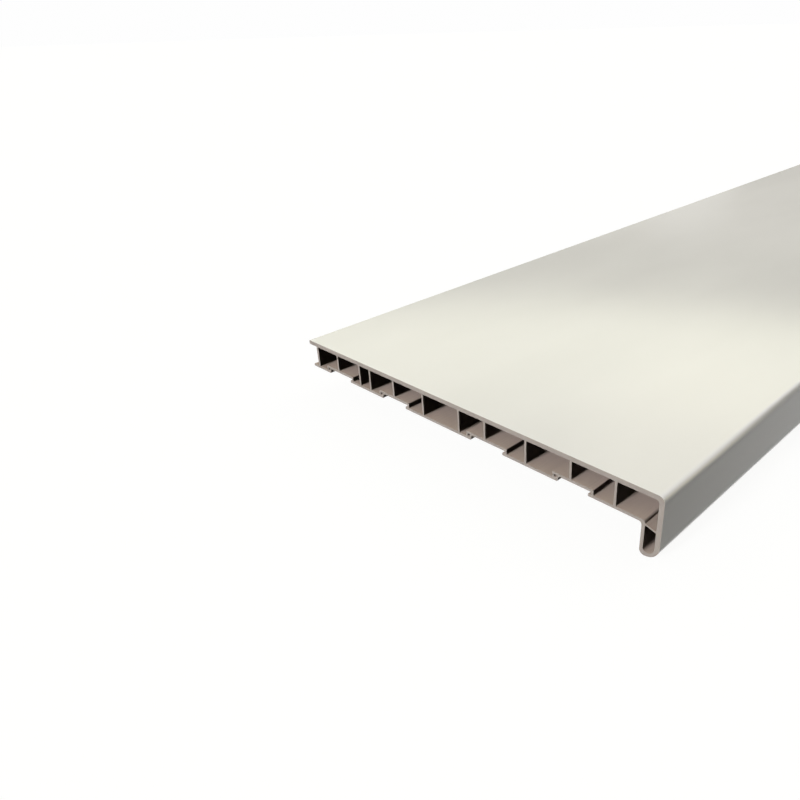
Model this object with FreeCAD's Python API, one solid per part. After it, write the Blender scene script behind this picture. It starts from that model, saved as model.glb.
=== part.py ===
import FreeCAD, Part
import math
import os

# Window sill board: one extruded hollow length, all sizes in millimetres.
# X runs along the length, -Y is the room side with the drop nose, +Y is the window side.
# The origin is on the ground under the middle of the board, where the nose stands.

# Whole board
board_length = 1500.0
board_depth = 300.0
board_thickness = 20.0
nose_height = 40.0
nose_thickness = 11.6

# Walls of the section
top_plate = 3.0
nose_wall = 3.0
nose_bottom = 2.4
leg_wall = 2.0
bottom_plate = 1.8
web = 1.5
rear_wall = 2.0
rear_overhang = 8.5

# Underside: bearing pads with grooves between them, for clips and bedding
groove_depth = 3.5
riser = 1.5
lip_length = 2.0
lip_thickness = 1.8
rear_lip_length = 6.0

# Small hollow bead along the room side of each groove-bounded pad
bead_width = 3.5
bead_wall = 1.1
bead_slant = 0.9
bead_floor = 2.1
bead_roof = 1.4

# Slanted web inside the nose
nose_web = 0.9
nose_web_drop = 2.0
nose_web_slope = 1.9

# Rounding
top_corner_radius = 4.0
top_inner_radius = 2.0
nose_front_radius = 8.5
nose_rear_radius = 3.0
nose_inner_front_radius = 4.5
nose_inner_rear_radius = 2.0
leg_fillet = 2.0
leg_inner_radius = 1.4
bead_fillet = 1.2
bead_inner_radius = 0.6
edge_radius = 0.6
chamber_radius = 0.4

# Distances from the nose face to the room side of each web
web_places = [27.5, 56.5, 88.5, 120.5, 142.5, 175.0, 204.0, 229.0, 240.5, 265.5]

# Each groove: where the pad before it ends, and where the pad behind it starts
grooves = [(43.2, 66.0), (105.0, 133.0), (191.3, 216.6), (251.1, 276.9)]

# Webs and grooves are laid out for the deepest board, and a shallower one has those that leave this much before its rear
least_chamber = 6.0

# Levels above the ground
top_level = nose_height
ceiling = top_level - top_plate
pad_level = top_level - board_thickness
pad_floor = pad_level + bottom_plate
groove_level = pad_level + groove_depth
groove_floor = groove_level + bottom_plate

# Places across the board, measured from the nose face
leg_back = nose_thickness
leg_front = leg_back - leg_wall
rear_face = board_depth - rear_overhang
rear_inside = rear_face - rear_wall
webs_kept = [place for place in web_places if place + web + least_chamber < rear_inside]
grooves_kept = [ends for ends in grooves if ends[1] + bead_width + least_chamber < rear_inside]

# Rounds that are limited by the wall or the hollow that they lie in
front_round = min(nose_front_radius, nose_thickness)
rear_round = min(nose_rear_radius, nose_thickness - front_round)
nose_hollow = leg_front - nose_wall
inner_rear_round = min(nose_inner_rear_radius, nose_hollow / 2)
inner_front_round = min(nose_inner_front_radius, nose_hollow - inner_rear_round)
leg_inner_round = min(leg_inner_radius, nose_web_drop - chamber_radius)
bead_height = groove_floor - bead_roof - pad_level - bead_floor
bead_inner_round = min(bead_inner_radius, bead_height / 2)


def section_wire(corners):
    """Closed wire in the section plane; each corner is (place, level, radius), rounded by a tangent arc."""
    points = [FreeCAD.Vector(0, place - board_depth / 2, level) for place, level, _ in corners]
    count = len(points)
    starts, middles, ends = [], [], []
    for i, point in enumerate(points):
        radius = corners[i][2]
        back = (points[i - 1] - point).normalize()
        ahead = (points[(i + 1) % count] - point).normalize()
        half = back.getAngle(ahead) / 2
        setback = radius / math.tan(half)
        bisector = (back + ahead).normalize()
        starts.append(point + back * setback)
        middles.append(point + bisector * (radius / math.sin(half) - radius))
        ends.append(point + ahead * setback)
    edges = []
    for i in range(count):
        if corners[i][2] > 0:
            edges.append(Part.Arc(starts[i], middles[i], ends[i]).toShape())
        following = starts[(i + 1) % count]
        if ends[i].distanceToPoint(following) > 1e-6:
            edges.append(Part.makeLine(ends[i], following))
    return Part.Wire(edges)


def outline():
    """Outer line of the section, from the nose along the underside to the window side and back on top."""
    corners = [
        (0, top_level, top_corner_radius),
        (0, 0, front_round),
        (leg_back, 0, rear_round),
        (leg_back, pad_level, leg_fillet),
    ]
    for pad_end, pad_start in grooves_kept:
        lip_end = pad_end + lip_length
        corners += [
            (lip_end, pad_level, edge_radius),
            (lip_end, pad_level + lip_thickness, edge_radius),
            (pad_end, pad_level + lip_thickness, chamber_radius),
            (pad_end, groove_level, chamber_radius),
            (pad_start - bead_slant, groove_level, bead_fillet),
            (pad_start, pad_level, edge_radius),
        ]
    rear_lip_end = rear_face + rear_lip_length
    corners += [
        (rear_lip_end, pad_level, edge_radius),
        (rear_lip_end, pad_level + lip_thickness, edge_radius),
        (rear_face, pad_level + lip_thickness, chamber_radius),
        (rear_face, ceiling, chamber_radius),
        (board_depth, ceiling, edge_radius),
        (board_depth, top_level, edge_radius),
    ]
    return section_wire(corners)


def floor_corners(front, back):
    """Corners of the chamber floor between two webs, from the front: it steps up over grooves."""
    corners = []
    for pad_end, pad_start in grooves_kept:
        step_up = pad_end - riser
        step_down = pad_start + bead_width
        if front < step_up < back:
            corners += [(step_up, pad_floor, chamber_radius), (step_up, groove_floor, chamber_radius)]
        if front < step_down < back:
            corners += [(step_down, groove_floor, chamber_radius), (step_down, pad_floor, chamber_radius)]
    return corners


def floor_level(place):
    """Height of the chamber floor at one place across the board."""
    over_groove = any(pad_end - riser < place < pad_start + bead_width for pad_end, pad_start in grooves_kept)
    return groove_floor if over_groove else pad_floor


def chamber(front, back):
    """Hollow between two upright webs, closed above by the top plate."""
    corners = [(front, ceiling, chamber_radius), (front, floor_level(front), chamber_radius)]
    corners += floor_corners(front, back)
    corners += [(back, floor_level(back), chamber_radius), (back, ceiling, chamber_radius)]
    return section_wire(corners)


def front_chamber():
    """First hollow: it runs from the first web down to the slanted web inside the nose."""
    web_top = pad_floor - nose_web_drop
    return section_wire([
        (nose_wall, ceiling, top_inner_radius),
        (nose_wall, web_top - nose_web_slope, chamber_radius),
        (leg_front, web_top, chamber_radius),
        (leg_front, pad_floor, leg_inner_round),
        (webs_kept[0], pad_floor, chamber_radius),
        (webs_kept[0], ceiling, chamber_radius),
    ])


def nose_chamber():
    """Deep hollow of the nose, under the slanted web."""
    web_under = pad_floor - nose_web_drop - nose_web
    return section_wire([
        (nose_wall, web_under - nose_web_slope, chamber_radius),
        (nose_wall, nose_bottom, inner_front_round),
        (leg_front, nose_bottom, inner_rear_round),
        (leg_front, web_under, chamber_radius),
    ])


def bead_chamber(pad_start):
    """Small hollow of a bead; its room side leans with the slanted outer face."""
    lean = bead_slant / groove_depth
    slanted_wall = bead_wall * math.hypot(1, lean)
    low = pad_level + bead_floor
    high = low + bead_height
    back = pad_start + bead_width - bead_wall
    return section_wire([
        (pad_start - lean * (high - pad_level) + slanted_wall, high, bead_inner_round),
        (pad_start - lean * (low - pad_level) + slanted_wall, low, bead_inner_round),
        (back, low, bead_inner_round),
        (back, high, bead_inner_round),
    ])


def sill_board():
    """The section with all its hollows, carried along the board's length."""
    hollows = [front_chamber(), nose_chamber()]
    chamber_fronts = [place + web for place in webs_kept]
    chamber_backs = webs_kept[1:] + [rear_inside]
    hollows += [chamber(front, back) for front, back in zip(chamber_fronts, chamber_backs)]
    hollows += [bead_chamber(pad_start) for _, pad_start in grooves_kept]
    section = Part.makeFace([outline()] + hollows, "Part::FaceMakerBullseye")
    section.translate(FreeCAD.Vector(-board_length / 2, 0, 0))
    return section.extrude(FreeCAD.Vector(board_length, 0, 0))


os.makedirs("parts", exist_ok=True)
board = sill_board()
board.exportStep("parts/sill_board.step")
print("sill_board: volume cm3 %.1f, valid %s, solids %d" % (board.Volume / 1000, board.isValid(), len(board.Solids)))
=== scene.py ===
import math

import bpy
import numpy as np
from mathutils import Matrix, Vector
from mathutils.geometry import tessellate_polygon


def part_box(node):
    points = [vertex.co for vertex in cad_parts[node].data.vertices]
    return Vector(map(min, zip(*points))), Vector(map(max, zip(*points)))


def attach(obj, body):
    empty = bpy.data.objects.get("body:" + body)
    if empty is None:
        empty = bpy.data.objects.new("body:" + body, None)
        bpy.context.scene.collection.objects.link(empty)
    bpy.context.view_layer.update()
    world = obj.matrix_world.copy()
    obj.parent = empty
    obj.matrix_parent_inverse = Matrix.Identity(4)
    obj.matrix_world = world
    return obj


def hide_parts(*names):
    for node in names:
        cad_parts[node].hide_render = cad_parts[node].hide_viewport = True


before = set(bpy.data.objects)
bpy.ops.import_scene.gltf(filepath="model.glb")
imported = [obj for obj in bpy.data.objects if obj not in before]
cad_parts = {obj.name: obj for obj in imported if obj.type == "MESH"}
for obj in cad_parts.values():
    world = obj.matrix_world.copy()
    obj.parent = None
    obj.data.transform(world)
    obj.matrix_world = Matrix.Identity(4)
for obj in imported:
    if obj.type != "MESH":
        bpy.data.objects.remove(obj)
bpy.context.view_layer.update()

# Window sill board, dressed: one extruded hollow board with a cream film over its top and its nose.
# The section is worked out in millimetres, from the nose face and from the ground, and is placed in metres.
MM = 0.001
BOARD_LOW, BOARD_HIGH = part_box("sill_board")
BOARD_DEPTH = (BOARD_HIGH.y - BOARD_LOW.y) / MM
TOP = BOARD_HIGH.z / MM

# Walls of the section
BOARD_THICKNESS = 20.0
NOSE_THICKNESS = 11.6
TOP_PLATE = 3.0
NOSE_WALL = 3.0
NOSE_BOTTOM = 2.4
LEG_WALL = 2.0
BOTTOM_PLATE = 1.8
WEB = 1.5
REAR_WALL = 2.0
REAR_OVERHANG = 8.5

# Underside
GROOVE_DEPTH = 3.5
RISER = 1.5
LIP_LENGTH = 2.0
LIP_THICKNESS = 1.8
REAR_LIP_LENGTH = 6.0
BEAD_WIDTH = 3.5
BEAD_WALL = 1.1
BEAD_SLANT = 0.9
BEAD_FLOOR = 2.1
BEAD_ROOF = 1.4
WEB_PLACES = [27.5, 56.5, 88.5, 120.5, 142.5, 175.0, 204.0, 229.0, 240.5, 265.5]
GROOVES = [(43.2, 66.0), (105.0, 133.0), (191.3, 216.6), (251.1, 276.9)]

# Slanted web inside the nose
NOSE_WEB = 0.9
NOSE_WEB_DROP = 2.0
NOSE_WEB_SLOPE = 1.9

# Rounding, how many straight steps stand for one arc, and how far the sawn ends swell while they are filled
TOP_CORNER_RADIUS = 4.0
TOP_INNER_RADIUS = 2.0
NOSE_FRONT_RADIUS = 8.5
NOSE_REAR_RADIUS = 3.0
NOSE_INNER_FRONT_RADIUS = 4.5
NOSE_INNER_REAR_RADIUS = 2.0
LEG_FILLET = 2.0
LEG_INNER_RADIUS = 1.4
BEAD_FILLET = 1.2
BEAD_INNER_RADIUS = 0.6
EDGE_RADIUS = 0.6
CHAMBER_RADIUS = 0.4
OUTER_STEPS = 16
INNER_STEPS = 6
END_SWELL = 0.01

# How far up the back of the nose the film is wrapped
FILM_END = 9.0

# Each face is film, bare stock or sawn stock. A finish has a darker and a lighter shade, a roughness or its
# lowest and highest roughness, and a shine, which is the IOR and the shader's specular level. The patterns'
# grains, pitches and depths are in millimetres.
FILM, BARE, SAWN = 0, 1, 2
FILM_SHADES = ("#E0DED8", "#E4E2DC")
FILM_ROUGHNESS = (0.09, 0.12)
FILM_SHINE = (1.5, 0.5)
FILM_CLOUDS = (160, 60, 60)
FILM_GRAIN = 0.6
FILM_GRAIN_DEPTH = 0.001
BARE_SHADES = ("#B8A696", "#C0AE9E")
BARE_ROUGHNESS = (0.38, 0.5)
BARE_SHINE = (1.53, 0.04)
DIE_LINES = (90, 0.7, 0.7)
DIE_LINE_DEPTH = 0.01
# Same rigid PVC as the bare stock; its darker shades are painted shade that offsets the strong key light on
# the sawn end
SAWN_COLOURS_WITH_PAINTED_SHADE = ("#978E83", "#9F968A")
SAWN_ROUGHNESS = 0.62
SAWN_SHINE = (1.53, 0.3)
SAWN_PATCHES = (4, 9, 9)
TOOTH_PITCH = 0.8
TOOTH_DEPTH = 0.006

# How far under the board the saw's hub passed
BLADE_DROP = 130.0

# Levels and places that follow
CEILING = TOP - TOP_PLATE
PAD_LEVEL = TOP - BOARD_THICKNESS
PAD_FLOOR = PAD_LEVEL + BOTTOM_PLATE
GROOVE_LEVEL = PAD_LEVEL + GROOVE_DEPTH
GROOVE_FLOOR = GROOVE_LEVEL + BOTTOM_PLATE
LEG_FRONT = NOSE_THICKNESS - LEG_WALL
REAR_FACE = BOARD_DEPTH - REAR_OVERHANG


def unit(vectors):
    """Each row divided by its length."""
    return vectors / np.linalg.norm(vectors, axis=-1, keepdims=True)


def rounded(corners, steps):
    """Loop of points, and their normals out of the material, for corners (place, level, radius).

    The corners keep the material on their left. Each becomes the arc that is tangent to its two sides. The
    arc's centre lies on the line half way between the two sides' normals, radius / cos(turn / 2) from the
    corner, and point = centre + radius * normal, while the normal turns evenly from one side's to the next.
    """
    place, level, radius = np.array(corners, float).T
    corner = np.stack([place, level], 1)
    side = unit(np.roll(corner, -1, 0) - corner)
    out = np.stack([side[:, 1], -side[:, 0]], 1)
    out_before = np.roll(out, 1, 0)
    start = np.arctan2(out_before[:, 1], out_before[:, 0])
    turn = (np.arctan2(out[:, 1], out[:, 0]) - start + np.pi) % (2 * np.pi) - np.pi
    signed = (np.sign(turn) * radius)[:, None]
    centre = corner - signed * unit(out + out_before) / np.cos(turn / 2)[:, None]
    angle = start[:, None] + turn[:, None] * np.linspace(0, 1, steps + 1)
    normal = np.stack([np.cos(angle), np.sin(angle)], 2)
    return (centre[:, None] + signed[:, None] * normal).reshape(-1, 2), normal.reshape(-1, 2)


def outline_corners():
    """Outer line of the section, from the top of the nose along the underside to the window side."""
    corners = [
        (0, TOP, TOP_CORNER_RADIUS),
        (0, 0, NOSE_FRONT_RADIUS),
        (NOSE_THICKNESS, 0, NOSE_REAR_RADIUS),
        (NOSE_THICKNESS, PAD_LEVEL, LEG_FILLET),
    ]
    for pad_end, pad_start in GROOVES:
        lip_end = pad_end + LIP_LENGTH
        corners += [
            (lip_end, PAD_LEVEL, EDGE_RADIUS),
            (lip_end, PAD_LEVEL + LIP_THICKNESS, EDGE_RADIUS),
            (pad_end, PAD_LEVEL + LIP_THICKNESS, CHAMBER_RADIUS),
            (pad_end, GROOVE_LEVEL, CHAMBER_RADIUS),
            (pad_start - BEAD_SLANT, GROOVE_LEVEL, BEAD_FILLET),
            (pad_start, PAD_LEVEL, EDGE_RADIUS),
        ]
    rear_lip_end = REAR_FACE + REAR_LIP_LENGTH
    return corners + [
        (rear_lip_end, PAD_LEVEL, EDGE_RADIUS),
        (rear_lip_end, PAD_LEVEL + LIP_THICKNESS, EDGE_RADIUS),
        (REAR_FACE, PAD_LEVEL + LIP_THICKNESS, CHAMBER_RADIUS),
        (REAR_FACE, CEILING, CHAMBER_RADIUS),
        (BOARD_DEPTH, CEILING, EDGE_RADIUS),
        (BOARD_DEPTH, TOP, EDGE_RADIUS),
    ]


def floor_level(place):
    """Level of the chambers' floor at one place: higher over a groove."""
    raised = any(pad_end - RISER < place < pad_start + BEAD_WIDTH for pad_end, pad_start in GROOVES)
    return GROOVE_FLOOR if raised else PAD_FLOOR


def chamber(front, back):
    """Hollow between two upright webs, whose floor steps up over a groove."""
    r = CHAMBER_RADIUS
    corners = [(front, CEILING, r), (front, floor_level(front), r)]
    for pad_end, pad_start in GROOVES:
        for step, before, after in (
            (pad_end - RISER, PAD_FLOOR, GROOVE_FLOOR),
            (pad_start + BEAD_WIDTH, GROOVE_FLOOR, PAD_FLOOR),
        ):
            if front < step < back:
                corners += [(step, before, r), (step, after, r)]
    return corners + [(back, floor_level(back), r), (back, CEILING, r)]


def front_chamber():
    """First hollow: from the first web down to the slanted web inside the nose."""
    web_top = PAD_FLOOR - NOSE_WEB_DROP
    r = CHAMBER_RADIUS
    return [
        (NOSE_WALL, CEILING, TOP_INNER_RADIUS),
        (NOSE_WALL, web_top - NOSE_WEB_SLOPE, r),
        (LEG_FRONT, web_top, r),
        (LEG_FRONT, PAD_FLOOR, LEG_INNER_RADIUS),
        (WEB_PLACES[0], PAD_FLOOR, r),
        (WEB_PLACES[0], CEILING, r),
    ]


def nose_chamber():
    """Deep hollow of the nose, under the slanted web."""
    web_under = PAD_FLOOR - NOSE_WEB_DROP - NOSE_WEB
    return [
        (NOSE_WALL, web_under - NOSE_WEB_SLOPE, CHAMBER_RADIUS),
        (NOSE_WALL, NOSE_BOTTOM, NOSE_INNER_FRONT_RADIUS),
        (LEG_FRONT, NOSE_BOTTOM, NOSE_INNER_REAR_RADIUS),
        (LEG_FRONT, web_under, CHAMBER_RADIUS),
    ]


def bead_chamber(pad_start):
    """Small hollow of a bead, leaning with its slanted outer face."""
    lean = BEAD_SLANT / GROOVE_DEPTH
    slanted_wall = BEAD_WALL * math.hypot(1, lean)
    low, high = PAD_LEVEL + BEAD_FLOOR, GROOVE_FLOOR - BEAD_ROOF
    back = pad_start + BEAD_WIDTH - BEAD_WALL
    r = BEAD_INNER_RADIUS
    return [
        (pad_start - lean * (high - PAD_LEVEL) + slanted_wall, high, r),
        (pad_start - lean * (low - PAD_LEVEL) + slanted_wall, low, r),
        (back, low, r),
        (back, high, r),
    ]


def hollows():
    """Corners of every hollow, turned the other way round, so that the material is on their left too."""
    rear_inside = REAR_FACE - REAR_WALL
    fronts = [place + WEB for place in WEB_PLACES]
    backs = WEB_PLACES[1:] + [rear_inside]
    found = [front_chamber(), nose_chamber()]
    found += [chamber(front, back) for front, back in zip(fronts, backs)]
    found += [bead_chamber(pad_start) for _, pad_start in GROOVES]
    return [corners[::-1] for corners in found]


def with_film_end(points, normals):
    """The outline with one more point, on the back of the nose, where the film ends."""
    after_nose = 3 * (OUTER_STEPS + 1)
    end = np.array([[NOSE_THICKNESS, FILM_END]])
    straight_back = np.array([[1.0, 0.0]])
    points = np.concatenate([points[:after_nose], end, points[after_nose:]])
    normals = np.concatenate([normals[:after_nose], straight_back, normals[after_nose:]])
    return points, normals, after_nose


def swollen(points):
    """Points moved away from the middle of the plate's thickness, most of all half way across the board.

    New level = middle + (level - middle) * (1 + END_SWELL * sin(pi * place / depth)).
    """
    place, level = points.T
    middle = TOP - BOARD_THICKNESS / 2
    swell = 1 + END_SWELL * np.sin(np.pi * place / BOARD_DEPTH)
    return np.stack([place, middle + (level - middle) * swell], 1)


def end_triangles(loops, section):
    """The section between its outline and its hollows, as triangles that face +X.

    They are chosen on a slightly swollen section, because the corners of the level ceilings lie in one line,
    and three of them would make a triangle without area.
    """
    triangles = np.array(tessellate_polygon([swollen(points).tolist() for points, _ in loops]))
    a, b, c = (section[triangles[:, k]] for k in range(3))
    area = (b[:, 0] - a[:, 0]) * (c[:, 1] - a[:, 1]) - (b[:, 1] - a[:, 1]) * (c[:, 0] - a[:, 0])
    return triangles if area.sum() > 0 else triangles[:, ::-1]


def board_mesh():
    """The section's loops carried along the board, and closed at both sawn ends.

    A wall is a grid: one row of it is a loop of the section, and the other is the same loop at the far end.
    """
    outline, outline_normals, film_stop = with_film_end(*rounded(outline_corners(), OUTER_STEPS))
    loops = [(outline, outline_normals)] + [rounded(corners, INNER_STEPS) for corners in hollows()]
    section = np.concatenate([points for points, _ in loops])
    section_normals = np.concatenate([normals for _, normals in loops])
    count = len(section)
    sizes = [len(points) for points, _ in loops]
    firsts = np.cumsum([0] + sizes[:-1])

    verts = np.empty((2, count, 3))
    verts[:, :, 0] = np.array([[BOARD_LOW.x], [BOARD_HIGH.x]])
    verts[:, :, 1] = section[:, 0] * MM + BOARD_LOW.y
    verts[:, :, 2] = section[:, 1] * MM

    quads, quad_kind = [], []
    along_outline = np.arange(sizes[0])
    film = (along_outline < film_stop) | (along_outline >= sizes[0] - (OUTER_STEPS + 1))
    for first, size in zip(firsts, sizes):
        here = first + np.arange(size)
        there = first + (np.arange(size) + 1) % size
        quads.append(np.stack([here, there, there + count, here + count], 1))
        quad_kind.append(np.where(film, FILM, BARE) if first == 0 else np.full(size, BARE))
    wall_quads = np.concatenate(quads)

    triangles = end_triangles(loops, section)
    end_low, end_high = triangles[:, ::-1], triangles + count

    mesh = bpy.data.meshes.new("sill_board_dressed")
    faces = [face for group in (wall_quads, end_low, end_high) for face in group.tolist()]
    mesh.from_pydata(verts.reshape(-1, 3).tolist(), [], faces)
    kinds = np.concatenate(quad_kind + [np.full(2 * len(triangles), SAWN)])
    mesh.polygons.foreach_set("material_index", kinds.astype(np.int32))
    mesh.polygons.foreach_set("use_smooth", np.ones(len(kinds), bool))

    wall_normals = section_normals[wall_quads % count].reshape(-1, 2)
    wall_normals = np.concatenate([np.zeros((len(wall_normals), 1)), wall_normals], 1)
    end_normals = [np.tile([sign, 0.0, 0.0], (3 * len(triangles), 1)) for sign in (-1, 1)]
    mesh.normals_split_custom_set(np.concatenate([wall_normals] + end_normals).tolist())
    mesh.update()
    return mesh


def linear(hex_colour):
    """sRGB hex to linear red, green, blue and alpha."""
    srgb = np.array([int(hex_colour[i:i + 2], 16) for i in (1, 3, 5)]) / 255
    return (*np.where(srgb <= 0.04045, srgb / 12.92, ((srgb + 0.055) / 1.055) ** 2.4), 1.0)


def node(tree, kind, sockets=(), **settings):
    """Adds one node; sockets gives its inputs, each a value or another node's output."""
    made = tree.nodes.new(kind)
    for name, value in settings.items():
        setattr(made, name, value)
    for key, value in dict(sockets).items():
        if isinstance(value, bpy.types.NodeSocket):
            tree.links.new(value, made.inputs[key])
        else:
            made.inputs[key].default_value = value
    return made


def new_material(name):
    """An empty node material and its tree."""
    material = bpy.data.materials.new(name)
    material.use_nodes = True
    material.node_tree.nodes.clear()
    return material, material.node_tree


def grains(tree, place, size):
    """Uneven pattern over the surface; size is its grains' in mm, or theirs along each of X, Y and Z."""
    stretched = node(tree, "ShaderNodeMapping", {"Vector": place, "Scale": 1 / (np.ones(3) * size * MM)})
    return node(tree, "ShaderNodeTexNoise", {
        "Vector": stretched.outputs["Vector"], "Scale": 1.0, "Detail": 2.0,
    }).outputs["Fac"]


def spread(tree, pattern, low, high):
    """Number that goes from low to high while the pattern goes through its usual range."""
    return node(tree, "ShaderNodeMapRange", {
        "Value": pattern, "From Min": 0.3, "From Max": 0.7, "To Min": low, "To Max": high,
    }).outputs["Result"]


def shaded(tree, pattern, dark, light):
    """Colour between two close shades of one stock."""
    return node(tree, "ShaderNodeMix", {
        "Factor": spread(tree, pattern, 0.0, 1.0), "A": linear(dark), "B": linear(light),
    }, data_type="RGBA").outputs["Result"]


def finished(tree, colour, roughness, shine, relief, depth):
    """Shader of a finish, raised by its relief pattern to a depth in mm."""
    bump = node(tree, "ShaderNodeBump", {"Height": relief, "Strength": 1.0, "Distance": depth * MM})
    ior, specular_level = shine
    shader = node(tree, "ShaderNodeBsdfPrincipled", {
        "Base Color": colour, "Roughness": roughness, "IOR": ior, "Specular IOR Level": specular_level,
        "Normal": bump.outputs["Normal"],
    })
    node(tree, "ShaderNodeOutputMaterial", {"Surface": shader.outputs["BSDF"]})


def film_material():
    """Cream PVC film, laminated on the board and pressed with a fine grain.

    The eye gets a warm white, a soft mirror image of the room that sharpens towards grazing, and no joint.
    The pressed grain is about 0.3 mm wide in the real film and is drawn 0.6 mm wide, so that it shows.
    """
    material, tree = new_material("pvc_film_satin")
    place = node(tree, "ShaderNodeTexCoord").outputs["Object"]
    clouds = grains(tree, place, FILM_CLOUDS)
    colour = shaded(tree, clouds, *FILM_SHADES)
    roughness = spread(tree, clouds, *FILM_ROUGHNESS)
    finished(tree, colour, roughness, FILM_SHINE, grains(tree, place, FILM_GRAIN), FILM_GRAIN_DEPTH)
    return material


def bare_material():
    """Rigid PVC as the die leaves it, in the chambers and on the underside.

    The eye gets a dull warm taupe, and faint lines drawn along the board by the die.
    """
    material, tree = new_material("rigid_pvc_extruded")
    place = node(tree, "ShaderNodeTexCoord").outputs["Object"]
    lines = grains(tree, place, DIE_LINES)
    colour = shaded(tree, lines, *BARE_SHADES)
    finished(tree, colour, spread(tree, lines, *BARE_ROUGHNESS), BARE_SHINE, lines, DIE_LINE_DEPTH)
    return material


def sawn_material():
    """Rigid PVC as a saw blade leaves it at the board's ends.

    The eye gets a chalky, greyer taupe crossed by the shallow arcs of the blade's teeth. Its shades are
    darker than the bare stock's, as painted shade that offsets the strong key light on the sawn end.
    A ring of the wave texture at scale 1 is pi / 10 wide.
    """
    material, tree = new_material("rigid_pvc_sawn")
    place = node(tree, "ShaderNodeTexCoord").outputs["Object"]
    from_hub = node(tree, "ShaderNodeMapping", {"Vector": place, "Location": (0, 0, BLADE_DROP * MM)})
    arcs = node(tree, "ShaderNodeTexWave", {
        "Vector": from_hub.outputs["Vector"], "Scale": math.pi / 10 / (TOOTH_PITCH * MM), "Distortion": 1.5,
        "Detail": 2.0, "Detail Scale": 0.6,
    }, wave_type="RINGS", rings_direction="X").outputs["Fac"]
    colour = shaded(tree, grains(tree, place, SAWN_PATCHES), *SAWN_COLOURS_WITH_PAINTED_SHADE)
    finished(tree, colour, SAWN_ROUGHNESS, SAWN_SHINE, arcs, TOOTH_DEPTH)
    return material


# The camera stands where the photograph's stood, and is shifted as the photograph's framing is
CAMERA_PLACE = (-1.0134, -0.2839, 0.2464)
CAMERA_AZIMUTH = -45.60
CAMERA_ELEVATION = 27.95
CAMERA_ROLL = -1.60
CAMERA_LENS = 32.12
CAMERA_SHIFT = -0.1
SENSOR_WIDTH = 36.0


def add_camera():
    """Camera looking down at the sawn end from the nose side."""
    data = bpy.data.cameras.new("camera")
    data.sensor_width, data.lens, data.shift_x = SENSOR_WIDTH, CAMERA_LENS, CAMERA_SHIFT
    camera = bpy.data.objects.new("camera", data)
    azimuth, elevation = math.radians(CAMERA_AZIMUTH), math.radians(CAMERA_ELEVATION)
    back = Vector((
        math.sin(azimuth) * math.cos(elevation),
        -math.cos(azimuth) * math.cos(elevation),
        math.sin(elevation),
    ))
    level = (-back).to_track_quat("-Z", "Y").to_matrix().to_4x4()
    roll = Matrix.Rotation(math.radians(CAMERA_ROLL), 4, "Z")
    camera.matrix_world = Matrix.Translation(CAMERA_PLACE) @ level @ roll
    bpy.context.scene.collection.objects.link(camera)
    bpy.context.scene.camera = camera


# The studio: a glowing floor under a pale dome, inside soft lights that are painted on the surroundings
STUDIO_RADIUS = 20.0
DOME_RINGS = 16
FLOOR_GLOW = (0.945, 0.945, 0.935)
FLOOR_GREY = 0.06
DOME_GLOW = (0.99, 0.99, 0.99)

# Colours of the lights, as linear red, green and blue
WHITE = (1.0, 1.0, 1.0)
COOL = (1.0, 1.0, 1.12)
PEARL = (1.03, 1.0, 0.93)
IVORY = (1.05, 1.0, 0.95)
CREAM = (0.99, 1.0, 0.79)
WARM = (1.1, 1.0, 0.74)
AMBER = (1.12, 1.0, 0.62)

# A light fills the directions within its edges. An edge is an axis, and how far a direction points along it
# where the light starts and where it is full.
UP = (0, 0, 1)
ALONG_BOARD = (1, 0, 0)
TO_ROOM = (0, -1, 0)
TO_WINDOW = (0, 1, 0)


def elevations(start, full):
    """Edge between two elevations in degrees."""
    return UP, math.sin(math.radians(start)), math.sin(math.radians(full))


def round_edge(azimuth, elevation, start, full):
    """Edge between two angles from a direction: its azimuth from +X and its elevation, all in degrees."""
    a, e = math.radians(azimuth), math.radians(elevation)
    axis = (math.cos(a) * math.cos(e), math.sin(a) * math.cos(e), math.sin(e))
    return axis, math.cos(math.radians(start)), math.cos(math.radians(full))


HORIZON = (UP, -0.02, 0.02)
WINDOW_SIDE = (TO_WINDOW, -0.23, -0.05)
CEILING_EDGE = elevations(18.4, 22.2)

# The tall light draws the bright line on the rounded corner, and its warmer lower part lights the nose
TALL_EDGES = [
    (ALONG_BOARD, 0.845, 0.77),
    (ALONG_BOARD, 0.62, 0.70),
    (TO_ROOM, 0.05, 0.30),
    (UP, -0.01, 0.05),
]

# Strength, colour and edges of each light
LIGHTS = {
    "faint fill": (0.004, WHITE, [HORIZON]),
    "ceiling": (0.645, CREAM, [WINDOW_SIDE, CEILING_EDGE]),
    "bright rim of the ceiling": (0.855, CREAM, [WINDOW_SIDE, CEILING_EDGE, elevations(32.2, 26.2)]),
    "wall under the ceiling": (0.343, IVORY, [WINDOW_SIDE, HORIZON, elevations(16.8, 14.6)]),
    "tall light, upper part": (2.0, PEARL, TALL_EDGES + [(UP, 0.22, 0.42)]),
    "tall light, lower part": (2.0, AMBER, TALL_EDGES + [(UP, 0.42, 0.22)]),
    "key on the sawn end": (112.0, COOL, [round_edge(175.5, 25.0, 7.0, 3.0)]),
    "over the nose": (1.45, COOL, [round_edge(-3.0, 45.5, 25.0, 10.0)]),
    "glow on the far end": (0.28, WHITE, [round_edge(28.5, 11.1, 5.0, 1.0)]),
    "glow on the right": (0.4, WARM, [round_edge(23.7, 33.1, 12.4, 4.3)]),
    "underside": (0.1, WARM, [round_edge(0.0, -90.0, 40.0, 15.0)]),
}


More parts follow.
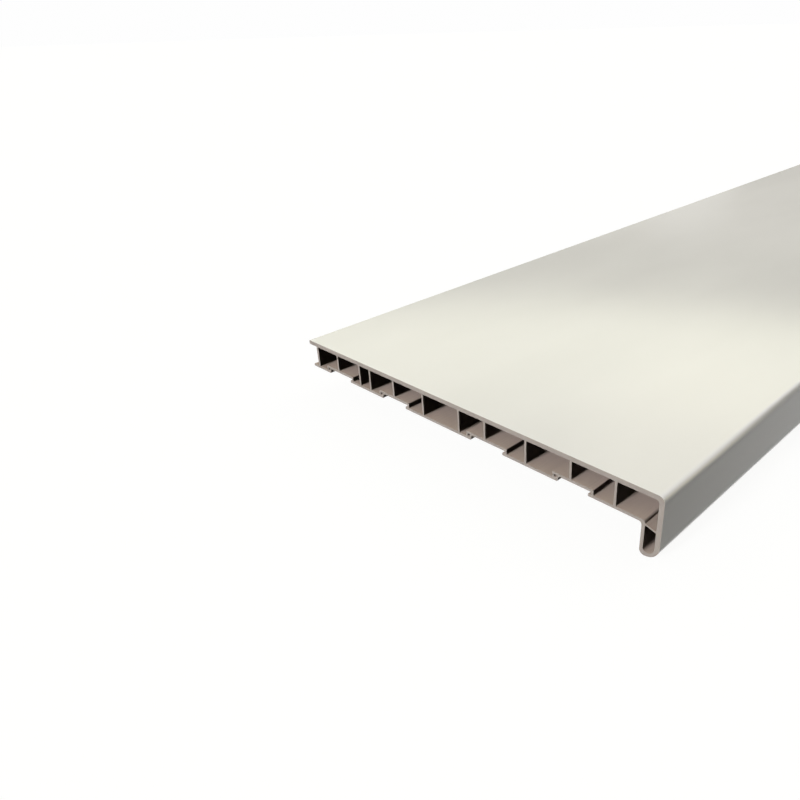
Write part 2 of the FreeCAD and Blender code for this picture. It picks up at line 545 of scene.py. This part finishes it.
def add_stage(name, mesh, glow, grey):
    """A surface of the studio, which glows and takes some light.

    The board's diffuse light doesn't come from it, but from the painted lights alone.
    """
    material, tree = new_material(name)
    lit = node(tree, "ShaderNodeBsdfDiffuse", {"Color": (grey, grey, grey, 1)})
    shine = node(tree, "ShaderNodeEmission", {"Color": (*glow, 1), "Strength": 1.0})
    both = node(tree, "ShaderNodeAddShader", {0: lit.outputs[0], 1: shine.outputs[0]})
    node(tree, "ShaderNodeOutputMaterial", {"Surface": both.outputs[0]})
    mesh.materials.append(material)
    stage = bpy.data.objects.new(name, mesh)
    stage.visible_diffuse = False
    stage.visible_shadow = False
    bpy.context.scene.collection.objects.link(stage)
    return stage


def revolved(name, radii, heights, steps=64):
    """Surface of revolution: point = (radius cos t, radius sin t, height), for t all the way round."""
    t = np.linspace(0, 2 * np.pi, steps, endpoint=False)
    radii, heights = np.array(radii)[:, None], np.array(heights)[:, None]
    grid = np.stack([radii * np.cos(t), radii * np.sin(t), heights + 0 * t], 2)
    index = np.arange(grid[..., 0].size).reshape(grid.shape[:2])
    after = np.roll(index, -1, 1)
    quads = np.stack([index[:-1], after[:-1], after[1:], index[1:]], 2).reshape(-1, 4)
    mesh = bpy.data.meshes.new(name)
    mesh.from_pydata(grid.reshape(-1, 3).tolist(), [], quads.tolist())
    return mesh


def add_studio():
    """Floor disc and the dome over it; only the camera sees the dome."""
    add_stage("floor", revolved("floor", [0, STUDIO_RADIUS], [0, 0]), FLOOR_GLOW, FLOOR_GREY)
    rise = np.linspace(0, np.pi / 2, DOME_RINGS, endpoint=False)
    mesh = revolved("dome", STUDIO_RADIUS * np.cos(rise), STUDIO_RADIUS * np.sin(rise))
    dome = add_stage("dome", mesh, DOME_GLOW, 0.0)
    dome.visible_glossy = False


def set_surroundings():
    """Sum of the lights: each gives its colour times its strength, times the product of its soft edges."""
    world = bpy.data.worlds.new("studio")
    world.use_nodes = True
    tree = world.node_tree
    tree.nodes.clear()
    towards = node(tree, "ShaderNodeTexCoord").outputs["Generated"]
    total = (0, 0, 0)
    for strength, colour, edges in LIGHTS.values():
        share = 1.0
        for axis, start, full in edges:
            reach = node(tree, "ShaderNodeVectorMath", {0: towards, 1: axis}, operation="DOT_PRODUCT")
            inside = node(tree, "ShaderNodeMapRange", {
                "Value": reach.outputs["Value"], "From Min": start, "From Max": full,
            }, interpolation_type="SMOOTHSTEP").outputs["Result"]
            share = node(tree, "ShaderNodeMath", {0: share, 1: inside}, operation="MULTIPLY").outputs[0]
        lit = tuple(strength * part for part in colour)
        summed = node(tree, "ShaderNodeVectorMath", {0: share, 1: lit, 2: total}, operation="MULTIPLY_ADD")
        total = summed.outputs[0]
    background = node(tree, "ShaderNodeBackground", {"Color": total, "Strength": 1.0})
    node(tree, "ShaderNodeOutputWorld", {"Surface": background.outputs[0]})
    bpy.context.scene.world = world


board = bpy.data.objects.new("sill_board_dressed", board_mesh())
for material in (film_material(), bare_material(), sawn_material()):
    board.data.materials.append(material)
bpy.context.scene.collection.objects.link(board)
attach(board, "root")
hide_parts("sill_board")

add_camera()
add_studio()
set_surroundings()
bpy.context.scene.view_settings.view_transform = "Standard"
# Light that bounced along the chambers would grey them, and the photograph shows them nearly black inside
bpy.context.scene.cycles.diffuse_bounces = 0
